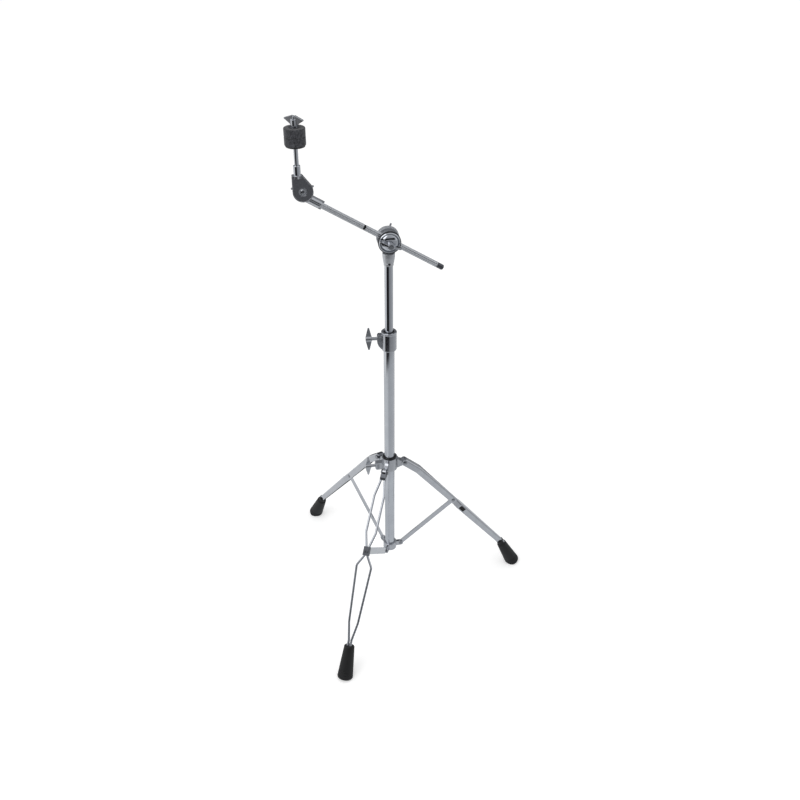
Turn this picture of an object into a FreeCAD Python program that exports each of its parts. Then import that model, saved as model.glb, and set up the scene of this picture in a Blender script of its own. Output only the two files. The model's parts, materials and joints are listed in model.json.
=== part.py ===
import FreeCAD, Part
import math
import os

# A folding boom stand for a crash cymbal. Lengths are in millimetres and angles in degrees.
# The column's axis is x = 0, y = 0 while the pieces are made, and the floor is z = 0.

# Column
lower_tube_diameter = 25.4
lower_tube_wall = 1.5
lower_tube_bottom = 119.0
lower_tube_top = 775.0
upper_tube_diameter = 19.05
upper_tube_wall = 1.2
upper_tube_bottom = 545.0
plug_depth = 18.0
plug_flange = 3.0

# Fits between pieces, each on the radius or on one side
slide_clearance = 0.05
turn_clearance = 0.05
face_clearance = 0.3
thread_clearance = 0.05

# Tripod geometry, seen in the plane of one leg
leg_azimuths = {"right": 10.4, "left": 129.4, "front": 251.6}
hub_pivot_radius = 39.0
hub_pivot_height = 407.0
middle_pivot_radius = 172.0
middle_pivot_height = 258.0
spider_pivot_radius = 29.0
spider_pivot_rise = 10.0
knee_drop = 29.0
knee_bend_radius = 34.0
leg_slope = 39.4
lower_leg_length = 222.0
leg_in_boot = 20.0

# Pressed channel legs
channel_width = 18.0
channel_depth = 17.5
channel_wall = 1.5
channel_corner = 4.5
channel_end_width = 10.5
channel_end_depth = 15.0
channel_least_top = 0.4
knee_steps = 5
pinch_width = 8.4
pinch_half_length = 26.0
pinch_core = 8.0
leg_bolt_diameter = 6.0
leg_bolt_head_diameter = 11.0
leg_bolt_head_height = 3.2
leg_bolt_edge_height = 1.3
leg_nut_width = 10.5
pad_length = 18.0
pad_width = 11.0
pad_thickness = 0.8
pad_from_pivot = 30.0

# Wire leg at the front
wire_diameter = 6.0
wire_start = 12.0
wire_eye_length = 14.0
wire_eye_spread = 11.0
wire_bend_radius = 13.0
least_wire_bend = 0.5
upper_loop_start = 62.0
upper_loop_spread = 25.0
upper_waist_length = 46.0
lower_loop_start = 38.0
lower_loop_spread = 38.0
lower_waist_spread = 23.0
lower_waist_length = 44.0
clamp_spread = 7.0
clamp_lift = 11.5
clamp_half_length = 11.0
clamp_wall = 1.6
clamp_ear = 2.2
front_eye_length = 15.0
front_eye_width = 13.5
front_eye_radius = 7.0
front_eye_room = 2.4

# Rubber feet
boot_slope = 27.0
boot_neck_radius = 9.8
boot_neck_length = 13.0
boot_shoulder = 3.5
boot_top_radius = 13.0
boot_end_radius = 19.5
boot_end_rounding = 7.0
boot_sink = 3.0
boot_groove_depth = 1.2
boot_groove_width = 2.5
boot_groove_pitch = 6.0
boot_groove_count = 3

# Braces
brace_width = 12.5
brace_thickness = 3.0
front_brace_width = 17.0
front_brace_shoulder = 16.0
brace_pin_diameter = 6.0
rivet_head_diameter = 10.0
rivet_head_height = 1.8
rivet_edge_height = 0.6

# Sliding leg hub
hub_outer_radius = 19.8
hub_bush_radius = 17.0
hub_drop = 14.0
hub_length = 35.0
hub_bush_lip = 1.5
hub_bush_rise = 0.5
hub_tongue_width = 14.4
front_tongue_width = 8.4
hub_tongue_radius = 6.9
hub_tongue_root = 27.0
tongue_step = 1.5
tongue_root_length = 3.0
tongue_hollow = 2.6
hub_lug_azimuth = 190.0
hub_lug_reach = 37.0
hub_lug_width = 13.0
hub_lug_height = 21.0
hub_lug_rounding = 5.5
hub_lug_chamfer = 2.0
hub_screw_rise = 11.0

# Spider at the foot of the column
spider_outer_radius = 17.5
spider_height = 20.0
spider_ear_thickness = 2.4
spider_ear_radius = 7.0

# Height clamp at the top of the lower tube
collar_outer_radius = 17.5
collar_skirt = 33.0
collar_length = 48.0
collar_rim = 4.0
collar_rim_step = 0.8
collar_chamfer = 1.6
collar_rim_chamfer = 1.0
collar_lug_azimuth = 185.0
collar_lug_reach = 27.5
collar_lug_width = 15.0
collar_screw_rise = 30.0
collar_lug_foot_rise = 4.0
collar_lug_bulge = 4.2
collar_lug_bulge_rise = 5.0
collar_lug_below = 9.0
collar_lug_above = 11.0
collar_lug_chamfer = 3.0
bush_sleeve_length = 45.0
bush_lip_drop = 1.0

# Wing bolts of the two column clamps
clamp_screw_diameter = 8.0
clamp_wing_radius_hub = 48.0
clamp_wing_radius_collar = 40.0
clamp_wing_span = 54.0
clamp_wing_length = 14.0
clamp_wing_tip = 4.5
clamp_wing_thickness = 4.0
clamp_wing_boss = 6.5
clamp_nut_width = 13.0
clamp_nut_thickness = 6.0
clamp_nut_cover = 4.0
clamp_nut_inset = 0.8
clamp_bore_overrun = 4.0
hub_wing_lean = 0.0
height_wing_lean = 8.0
wing_root_share = 0.8

# Boom tilter on top of the upper tube
tilter_turn = 8.0
tilter_height = 1015.0
neck_drop = 59.0
neck_length = 29.0
neck_bottom_radius = 11.0
neck_top_radius = 13.8
neck_ring_height = 5.0
neck_ring_step = 0.8
neck_ring_slope = 2.0
neck_band_height = 8.0
tilter_disc_radius = 25.0
rear_disc_front = 11.0
rear_disc_thickness = 9.0
rear_web_width = 23.0
rear_web_foot_half = 6.9
rear_web_foot_drop = 22.0
rear_web_foot_height = 14.0
rear_disc_bevel = 2.0
ratchet_disc_thickness = 3.0
holder_radius = 13.0
holder_front = 12.5
holder_collar_wall = 2.4
front_stud_seat = 2.6
gasket_width = 1.5
gasket_thickness = 6.0
dish_rim_thickness = 7.0
dish_rim_bevel = 1.3
dish_radius = 19.5
dish_groove = 2.0
dish_depth = 11.0
dish_nose_radius = 7.5
dish_bulge = 1.2
tilter_bolt_diameter = 8.0
stud_proud = 1.5
tilter_wing_span = 51.0
tilter_wing_length = 17.0
tilter_wing_tip = 5.5
tilter_wing_thickness = 4.5
tilter_wing_boss = 7.0
tilter_wing_slope = 21.0
rear_wing_span = 56.0
rear_wing_boss = 6.5
rear_wing_slope = 20.0
set_screw_diameter = 5.0
set_screw_proud = 0.6
set_screw_socket = 0.8
set_screw_rise = 6.0

# Boom rod
boom_slope = 31.3
boom_diameter = 12.7
boom_wall = 2.0
boom_head_reach = 213.3
boom_tail_reach = 142.0
boom_cap_length = 17.0
boom_cap_overlap = 12.0
boom_cap_radius = 6.1
boom_cap_rounding = 3.0
boom_groove_from_head = 152.0
boom_groove_width = 4.0
boom_groove_depth = 0.6
grip_sleeve_wall = 1.5
grip_sleeve_length = 30.0

# Cymbal tilter
head_rise = 10.3
head_radius = 21.3
head_front = -13.0
head_back = -1.0
head_neck_half_width = 9.4
head_neck_height = 35.0
head_neck_sink = 6.0
head_low_angle = -100.0
head_corner = 1.5
head_rim = 1.4
head_rim_depth = 0.8
post_offset = -9.5
recess_radius = 8.8
recess_depth = 4.0
arm_disc_radius = 18.0
arm_disc_thickness = 9.0
arm_flange_width = 19.7
arm_flange_thickness = 3.5
arm_length = 52.0
arm_barrel_radius = 7.9
arm_barrel_start = 8.0
arm_flange_overhang = 6.0
arm_head_room = 2.0
boom_rod_start = 26.0
pivot_bolt_diameter = 7.0
pivot_bolt_head_radius = 6.6
pivot_bolt_crown = 4.4
pivot_bolt_edge = 1.5
pivot_bolt_key_width = 4.0
pivot_bolt_key_depth = 3.0
pivot_wing_span = 48.0
pivot_wing_length = 15.0
pivot_wing_tip = 4.0
pivot_wing_thickness = 3.5
pivot_wing_boss = 6.0
pivot_wing_slope = 86.0

# Cymbal seat
post_diameter = 9.0
post_foot_rise = 12.0
stud_diameter = 6.0
sleeve_radius = 7.2
sleeve_length = 20.0
seat_rise = 213.0
stud_length = 60.0
seat_washer_radius = 20.5
seat_washer_thickness = 2.5
seat_washer_chamfer = 0.5
felt_radius = 22.0
felt_thickness = 17.0
felt_edge = 2.0
felt_sleeve_radius = 5.0
felt_sleeve_top = 11.0
top_washer_radius = 11.0
top_washer_thickness = 1.2
top_wing_span = 44.0
top_wing_height = 22.0
top_wing_thickness = 4.0
top_wing_boss = 6.0
top_wing_boss_height = 13.6
top_wing_foot = 1.5
top_wing_root = 4.2
top_wing_low = 12.1
top_wing_middle = 14.1
top_wing_high = 15.8
top_wing_round = 1.8
top_wing_flat = 3.0
top_wing_turn = -35.0
top_wing_lift = 0.3

# Sizes that follow from the ones above
Vector = FreeCAD.Vector
quarter_inset = 1 - math.sqrt(0.5)
knee_height = hub_pivot_height - knee_drop
spider_pivot_height = lower_tube_bottom + spider_pivot_rise
hub_bottom = hub_pivot_height - hub_drop
hub_top = hub_bottom + hub_length
hub_screw_height = hub_bottom + hub_screw_rise
collar_bottom = lower_tube_top - collar_skirt
collar_top = collar_bottom + collar_length
collar_screw_height = collar_bottom + collar_screw_rise
collar_lug_foot = collar_bottom + collar_lug_foot_rise
neck_bottom = tilter_height - neck_drop
neck_top = neck_bottom + neck_length
set_screw_height = neck_bottom + set_screw_rise
seat_height = tilter_height + seat_rise
stud_top = seat_height + stud_length
lower_tube_radius = lower_tube_diameter / 2
lower_tube_inner = lower_tube_radius - lower_tube_wall
upper_tube_radius = upper_tube_diameter / 2
boom_radius = boom_diameter / 2
floor = Vector(0, 0, 0)
up = Vector(0, 0, 1)
outward = Vector(1, 0, 0)
sideways = Vector(0, 1, 0)
leg_drop_angle = math.radians(leg_slope)
boot_angle = math.radians(boot_slope)
boot_mouth_radius = middle_pivot_radius + lower_leg_length * math.sin(leg_drop_angle)
boot_mouth_height = middle_pivot_height - lower_leg_length * math.cos(leg_drop_angle)
foot_radius = boot_mouth_radius + boot_mouth_height * math.tan(boot_angle)
knee_radius = middle_pivot_radius - (knee_height - middle_pivot_height) * math.tan(leg_drop_angle)
tilter_centre = Vector(0, 0, tilter_height)
boom_angle = math.radians(boom_slope)
head_pivot = tilter_centre + Vector(
    head_rise * math.sin(boom_angle) - boom_head_reach * math.cos(boom_angle), 0,
    head_rise * math.cos(boom_angle) + boom_head_reach * math.sin(boom_angle))
felt_bottom = seat_height + seat_washer_thickness + face_clearance
felt_middle = felt_bottom + felt_thickness + face_clearance
top_washer_bottom = felt_middle + felt_thickness + face_clearance


def cylinder(start, direction, radius, length):
    return Part.makeCylinder(radius, length, start, direction)


def sleeve(start, direction, outer_radius, inner_radius, length):
    return cylinder(start, direction, outer_radius, length).cut(
        cylinder(start, direction, inner_radius, length))


def block(x_range, y_range, z_range):
    corner = Vector(x_range[0], y_range[0], z_range[0])
    return Part.makeBox(x_range[1] - x_range[0], y_range[1] - y_range[0], z_range[1] - z_range[0],
                        corner)


def outline(steps, place):
    """Closed face. A step is a point, or a pair of points for an arc through the first."""
    edges = []
    here = steps[0]
    for step in steps[1:] + [steps[0]]:
        if isinstance(step[0], tuple):
            middle, there = step
            edges.append(Part.Arc(place(*here), place(*middle), place(*there)).toShape())
        else:
            there = step
            if math.dist(here, there) > 1e-6:
                edges.append(Part.LineSegment(place(*here), place(*there)).toShape())
        here = there
    return Part.Face(Part.Wire(edges))


def side_plate(steps, y_centre, thickness):
    """A plate in the x-z plane, its thickness split evenly about y_centre."""
    face = outline(steps, lambda x, z: Vector(x, y_centre - thickness / 2, z))
    return face.extrude(Vector(0, thickness, 0))


def turned(profile, start, direction):
    """A solid of revolution. The profile holds (radius, distance along the axis) steps."""
    frame = FreeCAD.Placement(start, FreeCAD.Rotation(up, direction))
    face = outline(profile, lambda radius, along: Vector(radius, 0, along))
    solid = face.revolve(floor, up, 360)
    solid.Placement = frame.multiply(solid.Placement)
    return solid


def join(first, *others):
    return first.fuse(list(others)).removeSplitter()


def about_column(shape, azimuth):
    turned_shape = shape.copy()
    turned_shape.rotate(floor, up, azimuth)
    return turned_shape


def link_steps(start, end, radius):
    """Outline of a flat bar with round ends about two points."""
    length = math.dist(start, end)
    along = ((end[0] - start[0]) / length, (end[1] - start[1]) / length)
    across = (-along[1], along[0])

    def at(point, forward, left):
        return (point[0] + radius * (along[0] * forward + across[0] * left),
                point[1] + radius * (along[1] * forward + across[1] * left))

    return [at(start, 0, 1), at(end, 0, 1), (at(end, 1, 0), at(end, 0, -1)), at(start, 0, -1),
            (at(start, -1, 0), at(start, 0, 1))]


def wing(span, length, tip, thickness, boss_radius):
    """A diamond shaped wing with a round boss. It points along +x and spans z."""
    middle = length / 2
    half = span / 2
    root = boss_radius * wing_root_share
    blade = side_plate([
        (0, root), (middle - tip / 2, half - tip / 2),
        ((middle, half), (middle + tip / 2, half - tip / 2)),
        (length, root), (length, -root),
        (middle + tip / 2, -half + tip / 2),
        ((middle, -half), (middle - tip / 2, -half + tip / 2)), (0, -root)],
        0, thickness)
    boss = cylinder(floor, outward, boss_radius, length)
    return join(blade, boss)


def in_tilter(shape):
    """Turn a piece made square to the axes to the way the tilter faces on the column."""
    return about_column(shape, tilter_turn)


def on_boom(shape):
    """Tip a piece made level, head towards -x, to the slope of the boom."""
    tipped = shape.copy()
    tipped.rotate(tilter_centre, sideways, boom_slope)
    return in_tilter(tipped)


# Column pieces

def make_lower_tube():
    length = lower_tube_top - lower_tube_bottom
    return sleeve(Vector(0, 0, lower_tube_bottom), up, lower_tube_radius, lower_tube_inner, length)


def make_tube_end_plug():
    bottom = lower_tube_bottom - plug_flange
    return turned([(0, bottom), (lower_tube_radius, bottom), (lower_tube_radius, lower_tube_bottom),
                   (lower_tube_inner, lower_tube_bottom),
                   (lower_tube_inner, lower_tube_bottom + plug_depth),
                   (0, lower_tube_bottom + plug_depth)], floor, up)


def make_upper_tube():
    top = neck_top - face_clearance
    return sleeve(Vector(0, 0, upper_tube_bottom), up, upper_tube_radius,
                  upper_tube_radius - upper_tube_wall, top - upper_tube_bottom)


# Spider, with a pair of ears for each brace

def make_spider():
    bottom = spider_pivot_height - spider_height / 2
    ring = sleeve(Vector(0, 0, bottom), up, spider_outer_radius, lower_tube_radius, spider_height)
    gap = brace_thickness / 2 + face_clearance
    shapes = []
    for azimuth in leg_azimuths.values():
        for side in (-1, 1):
            half = spider_ear_radius
            inner = lower_tube_radius + 1
            top = spider_pivot_height + half
            low = spider_pivot_height - half
            ear = side_plate([
                (inner, low), (spider_pivot_radius, low),
                ((spider_pivot_radius + half, spider_pivot_height), (spider_pivot_radius, top)),
                (inner, top)], side * (gap + spider_ear_thickness / 2), spider_ear_thickness)
            shapes.append(about_column(ear, azimuth))
    spider = join(ring, *shapes)
    spider = spider.cut(cylinder(Vector(0, 0, bottom), up, lower_tube_radius, spider_height))
    for azimuth in leg_azimuths.values():
        reach = gap + spider_ear_thickness
        hole = cylinder(Vector(spider_pivot_radius, -reach, spider_pivot_height), sideways,
                        brace_pin_diameter / 2, 2 * reach)
        spider = spider.cut(about_column(hole, azimuth))
    return spider


def make_spider_rivets():
    """Two shouldered halves at each ear pair; they stop at the ears' inner faces."""
    inner = brace_thickness / 2 + face_clearance
    outer = inner + spider_ear_thickness
    rivets = []
    for azimuth in leg_azimuths.values():
        for side in (-1, 1):
            direction = Vector(0, side, 0)
            start = Vector(spider_pivot_radius, side * inner, spider_pivot_height)
            shank = cylinder(start, direction, brace_pin_diameter / 2, spider_ear_thickness)
            head = rivet_head(Vector(spider_pivot_radius, side * outer, spider_pivot_height),
                              direction)
            rivets.append(about_column(join(shank, head), azimuth))
    return Part.makeCompound(rivets)


def domed_disc(start, direction, radius, edge, crown):
    """A round head with a straight edge and a spherical top that ends at its crown."""
    ball = (radius ** 2 + (crown - edge) ** 2) / (2 * (crown - edge))
    half_angle = math.asin(radius / ball) / 2
    middle = (ball * math.sin(half_angle), crown - ball * (1 - math.cos(half_angle)))
    return turned([(0, 0), (radius, 0), (radius, edge), (middle, (0, crown))], start, direction)


def rivet_head(start, direction):
    return domed_disc(start, direction, rivet_head_diameter / 2, rivet_edge_height,
                      rivet_head_height)


# Legs. They are made in the x-z plane with x outwards, then turned about the column.

def leg_axis_point(from_middle):
    """A point on the straight part of a leg, measured from the brace pivot to the foot."""
    return (middle_pivot_radius + from_middle * math.sin(leg_drop_angle),
            middle_pivot_height - from_middle * math.cos(leg_drop_angle))


def lower_leg_size(from_middle):
    """Width and depth of the channel, which tapers evenly from the brace to the foot."""
    end = lower_leg_length + leg_in_boot
    share = (from_middle - pinch_half_length) / (end - pinch_half_length)
    return (channel_width + (channel_end_width - channel_width) * share,
            channel_depth + (channel_end_depth - channel_depth) * share)


def channel_section(centre, tangent, width, full_depth):
    """The pressed channel's outline, open on its underside, across a tangent direction."""
    normal = (-tangent[1], tangent[0])
    half = width / 2
    depth = full_depth / 2
    corner = min(channel_corner, half - channel_least_top / 2)
    inset = corner * quarter_inset
    inner = half - channel_wall
    ceiling = depth - channel_wall

    def place(side, height):
        return Vector(centre[0] + normal[0] * height, side, centre[1] + normal[1] * height)

    face = outline([
        (-half, -depth), (-half, depth - corner),
        ((-half + inset, depth - inset), (-half + corner, depth)), (half - corner, depth),
        ((half - inset, depth - inset), (half, depth - corner)), (half, -depth),
        (inner, -depth), (inner, ceiling), (-inner, ceiling), (-inner, -depth)], place)
    return face.OuterWire


def make_channel_leg(azimuth):
    start = (hub_pivot_radius, hub_pivot_height)
    knee = (knee_radius, knee_height)
    first = math.atan2(knee[1] - start[1], knee[0] - start[0])
    second = -(math.pi / 2 - leg_drop_angle)
    bend = first - second
    setback = knee_bend_radius * math.tan(bend / 2)
    centre = (knee[0] - setback * math.cos(first) + knee_bend_radius * math.sin(first),
              knee[1] - setback * math.sin(first) - knee_bend_radius * math.cos(first))
    behind = channel_depth / 2 + 1
    stations = [((start[0] - behind * math.cos(first), start[1] - behind * math.sin(first)),
                 first, channel_width, channel_depth)]
    for step in range(knee_steps + 1):
        angle = first - bend * step / knee_steps
        point = (centre[0] - knee_bend_radius * math.sin(angle),
                 centre[1] + knee_bend_radius * math.cos(angle))
        stations.append((point, angle, channel_width, channel_depth))
    end = lower_leg_length + leg_in_boot
    for from_middle, width, depth in ((-pinch_core, pinch_width, channel_depth),
                                      (pinch_core, pinch_width, channel_depth),
                                      (pinch_half_length, channel_width, channel_depth),
                                      (end, channel_end_width, channel_end_depth)):
        stations.append((leg_axis_point(from_middle), second, width, depth))
    wires = [channel_section(point, (math.cos(angle), math.sin(angle)), width, depth)
             for point, angle, width, depth in stations]
    leg = Part.makeLoft(wires, True, True)
    end_radius = channel_depth / 2
    reach = 2 * channel_depth
    end_tool = sleeve(Vector(start[0], -channel_width, start[1]), sideways, reach, end_radius,
                      2 * channel_width)
    behind_pivot = block((start[0] - reach, start[0]), (-channel_width, channel_width),
                         (start[1] - reach, start[1] + reach))
    behind_pivot.rotate(Vector(start[0], 0, start[1]), sideways, -math.degrees(first))
    leg = leg.cut(end_tool.common(behind_pivot))
    for point, radius in ((start, leg_bolt_diameter / 2),
                          ((middle_pivot_radius, middle_pivot_height), brace_pin_diameter / 2)):
        leg = leg.cut(cylinder(Vector(point[0], -channel_width, point[1]), sideways, radius,
                               2 * channel_width))
    return about_column(leg, azimuth)


def make_leg_bolt(azimuth, half_width):
    """Pivot bolt with a domed head on one side and a nut on the other."""
    centre = Vector(hub_pivot_radius, 0, hub_pivot_height)
    shank = cylinder(centre + Vector(0, -half_width, 0), sideways, leg_bolt_diameter / 2,
                     2 * half_width)
    height = leg_bolt_head_height
    head = domed_disc(centre + Vector(0, -half_width, 0), Vector(0, -1, 0),
                      leg_bolt_head_diameter / 2, leg_bolt_edge_height, height)
    nut = hexagon_nut(centre + Vector(0, half_width, 0), leg_nut_width,
                      height)
    return about_column(join(shank, head, nut), azimuth)


def hexagon_nut(start, across_flats, height):
    corner = across_flats / math.sqrt(3)
    points = [(start.x + corner * math.cos(math.radians(60 * step)),
               start.z + corner * math.sin(math.radians(60 * step))) for step in range(6)]
    return side_plate(points, start.y + height / 2, height)


def make_middle_rivet(azimuth, half_width):
    """Rivet through the leg and the brace's upper end."""
    centre = Vector(middle_pivot_radius, 0, middle_pivot_height)
    shank = cylinder(centre + Vector(0, -half_width, 0), sideways, brace_pin_diameter / 2,
                     2 * half_width)
    near = rivet_head(centre + Vector(0, -half_width, 0), Vector(0, -1, 0))
    far = rivet_head(centre + Vector(0, half_width, 0), Vector(0, 1, 0))
    return about_column(join(shank, near, far), azimuth)


def make_brace(azimuth, bar_width):
    """Flat bar with round ends. A bar wider than its ends swells behind two shoulders."""
    lower = (spider_pivot_radius, spider_pivot_height)
    upper = (middle_pivot_radius, middle_pivot_height)
    bar = side_plate(link_steps(lower, upper, brace_width / 2), 0, brace_thickness)
    if bar_width > brace_width:
        bar = bar.fuse(wide_middle(lower, upper, bar_width / 2)).removeSplitter()
    for point in (lower, upper):
        hole = cylinder(Vector(point[0], -brace_thickness, point[1]), sideways,
                        brace_pin_diameter / 2 + turn_clearance, 2 * brace_thickness)
        bar = bar.cut(hole)
    return about_column(bar, azimuth)


def wide_middle(lower, upper, half):
    """The swollen middle of a bar, tapered to the width of its round ends."""
    length = math.dist(lower, upper)
    along = ((upper[0] - lower[0]) / length, (upper[1] - lower[1]) / length)
    taper = half - brace_width / 2
    narrow = brace_width / 2
    near = front_brace_shoulder
    far = length - front_brace_shoulder
    return side_plate([(lower[0] + along[0] * forward - along[1] * left,
                        lower[1] + along[1] * forward + along[0] * left)
                       for forward, left in ((near - taper, narrow), (near + taper, half),
                                             (far - taper, half), (far + taper, narrow),
                                             (far + taper, -narrow), (far - taper, -half),
                                             (near + taper, -half), (near - taper, -narrow))],
                      0, brace_thickness)


def make_boot(azimuth, fillers, neck):
    """Rubber boot set steeper than its leg, hollow for it, and cut flat where it stands."""
    mouth = Vector(boot_mouth_radius, 0, boot_mouth_height)
    direction = Vector(math.sin(boot_angle), 0, -math.cos(boot_angle))
    length = boot_mouth_height / math.cos(boot_angle) + boot_sink
    shoulder = boot_neck_length + boot_shoulder
    top_inset = boot_shoulder * quarter_inset
    steps = [(0, 0), (boot_neck_radius, 0), (boot_neck_radius, boot_neck_length)] if neck else [
        (0, boot_neck_length)]
    steps += [(boot_top_radius - boot_shoulder, boot_neck_length),
              ((boot_top_radius - top_inset, boot_neck_length + top_inset),
               (boot_top_radius, shoulder))]
    side_end = length - boot_end_rounding
    slope = (boot_end_radius - boot_top_radius) / (side_end - shoulder)
    first_groove = side_end - boot_groove_count * boot_groove_pitch
    for index in range(boot_groove_count):
        along = first_groove + index * boot_groove_pitch
        radius = boot_top_radius + slope * (along - shoulder)
        edge = boot_groove_depth / 2
        steps += [(radius, along), (radius - boot_groove_depth, along + edge),
                  (radius - boot_groove_depth, along + boot_groove_width - edge),
                  (radius + slope * boot_groove_width, along + boot_groove_width)]
    inset = boot_end_rounding * quarter_inset
    steps += [(boot_end_radius, side_end),
              ((boot_end_radius - inset, length - inset),
               (boot_end_radius - boot_end_rounding, length)), (0, length)]
    boot = turned(steps, mouth, direction)
    reach = 2 * boot_end_radius
    below = block((foot_radius - reach, foot_radius + reach), (-reach, reach), (-reach, 0))
    boot = about_column(boot.cut(below), azimuth)
    for filler in fillers:
        boot = boot.cut(filler)
    return boot


def channel_pocket():
    """The space that a channel leg's end fills in its boot."""
    tangent = (math.sin(leg_drop_angle), -math.cos(leg_drop_angle))
    wires = [solid_section(distance, tangent)
             for distance in (lower_leg_length - leg_in_boot, lower_leg_length + leg_in_boot)]
    return Part.makeLoft(wires, True, True)


def solid_section(from_middle, tangent):
    width, full_depth = lower_leg_size(from_middle)
    half = width / 2 + slide_clearance
    depth = full_depth / 2 + slide_clearance
    centre = leg_axis_point(from_middle)
    normal = (-tangent[1], tangent[0])

    def place(side, height):
        return Vector(centre[0] + normal[0] * height, side, centre[1] + normal[1] * height)

    return outline([(-half, -depth), (-half, depth), (half, depth), (half, -depth)],
                   place).OuterWire


def make_leg_pad():
    """Plain stick-on pad on the right leg's near wall, just below the brace."""
    direction = Vector(math.sin(leg_drop_angle), 0, -math.cos(leg_drop_angle))
    start = leg_axis_point(pad_from_pivot)
    side = -lower_leg_size(pad_from_pivot)[0] / 2 - pad_thickness
    pad = block((0, pad_length), (0, pad_thickness), (-pad_width / 2, pad_width / 2))
    pad.rotate(floor, sideways, 90 - math.degrees(leg_drop_angle))
    pad.translate(Vector(start[0], side, start[1]))
    return about_column(pad, leg_azimuths["right"])


# Wire leg. Each wire is one rod; the two open into loops above and below the brace clamp.

def clamp_middle():
    """Centre of the clamp that pinches the wires, just outside the brace pivot."""
    return Vector(middle_pivot_radius + clamp_lift * math.cos(leg_drop_angle), 0,
                  middle_pivot_height + clamp_lift * math.sin(leg_drop_angle))


def wire_points(side):
    hub = Vector(hub_pivot_radius, 0, hub_pivot_height)
    middle = clamp_middle()
    upper_length = middle.distanceToPoint(hub)
    arm = (middle - hub).normalize()
    stations = [(wire_start, wire_eye_spread),
                (wire_start + wire_eye_length, wire_eye_spread),
                (upper_loop_start, upper_loop_spread),
                (upper_length - upper_waist_length, upper_loop_spread),
                (upper_length - clamp_half_length, clamp_spread)]
    points = [hub + arm * along + Vector(0, side * spread / 2, 0) for along, spread in stations]
    foot_entry = Vector(*across_leg(lower_leg_length))
    shin = (foot_entry - middle).normalize()
    shin_length = foot_entry.distanceToPoint(middle)
    for along, spread in ((clamp_half_length, clamp_spread), (lower_loop_start, lower_loop_spread),
                          (shin_length - lower_waist_length, lower_waist_spread),
                          (shin_length, clamp_spread)):
        points.append(middle + shin * along + Vector(0, side * spread / 2, 0))
    end = Vector(*across_leg(lower_leg_length + leg_in_boot))
    points.append(end + Vector(0, side * clamp_spread / 2, 0))
    return points


def across_leg(from_middle):
    """A point on the leg's straight axis, measured from the brace pivot to the foot."""
    radius, height = leg_axis_point(from_middle)
    return radius, 0, height


def make_wire(azimuth, side):
    points = wire_points(side)
    path = bent_path(points, wire_bend_radius)
    circle = Part.Wire(Part.makeCircle(wire_diameter / 2, points[0],
                                       (points[1] - points[0]).normalize()))
    return about_column(path.makePipeShell([circle], True, False), azimuth)


def bent_path(points, radius):
    """Straight runs through the points, joined by arcs of one bend radius."""
    edges = []
    last = points[0]
    for before, corner, after in zip(points, points[1:], points[2:]):
        into = (corner - before).normalize()
        out = (after - corner).normalize()
        turn = into.getAngle(out)
        if turn < math.radians(least_wire_bend):
            continue
        cut = radius * math.tan(turn / 2)
        begin = corner - into * cut
        end = corner + out * cut
        inward = (out - into).normalize()
        centre = corner + inward * (radius / math.cos(turn / 2))
        edges.append(Part.LineSegment(last, begin).toShape())
        edges.append(Part.Arc(begin, centre - inward * radius, end).toShape())
        last = end
    edges.append(Part.LineSegment(last, points[-1]).toShape())
    return Part.Wire(edges)


def make_front_eye(azimuth, wires):
    """Forged end that holds the two wires and straddles the hub's front tongue."""
    inner = front_tongue_width / 2 + face_clearance
    width = front_eye_width
    radius = front_eye_radius
    x, z = hub_pivot_radius, hub_pivot_height
    arm = (clamp_middle() - Vector(x, 0, z)).normalize()
    front = (x + arm.x * front_eye_length, z + arm.z * front_eye_length)
    fork = side_plate(link_steps((x, z), front, radius), 0, width)
    room = hub_tongue_radius + front_eye_room
    around = cylinder(Vector(x, -inner, z), sideways, room, 2 * inner)
    behind = block((x - 4 * radius, x), (-inner, inner), (z - 4 * radius, z + 4 * radius))
    bore = cylinder(Vector(x, -width, z), sideways, leg_bolt_diameter / 2, 2 * width)
    fork = about_column(fork.cut(around).cut(behind).cut(bore), azimuth)
    for wire in wires:
        fork = fork.cut(wire)
    return fork


def make_front_clamp(azimuth, wires):
    """Clamp block pressed round both wires, with two ears inside for the brace."""
    half_width = clamp_spread / 2 + wire_diameter / 2 + clamp_wall
    half_depth = wire_diameter / 2 + clamp_wall
    middle = clamp_middle()
    strap = block((-clamp_half_length, clamp_half_length), (-half_width, half_width),
                  (-half_depth, half_depth))
    strap.rotate(floor, sideways, 90 - math.degrees(leg_drop_angle))
    strap.translate(middle)
    inner = brace_thickness / 2 + face_clearance
    pivot = (middle_pivot_radius, middle_pivot_height)
    ears = [side_plate(link_steps(pivot, (middle.x, middle.z), brace_width / 2),
                       side * (inner + clamp_ear / 2), clamp_ear) for side in (-1, 1)]
    clamp = join(strap, *ears)
    clamp = clamp.cut(cylinder(Vector(pivot[0], -2 * half_width, pivot[1]), sideways,
                               brace_pin_diameter / 2, 4 * half_width))
    clamp = about_column(clamp, azimuth)
    for wire in wires:
        clamp = clamp.cut(wire)
    return clamp


# Leg hub

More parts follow.
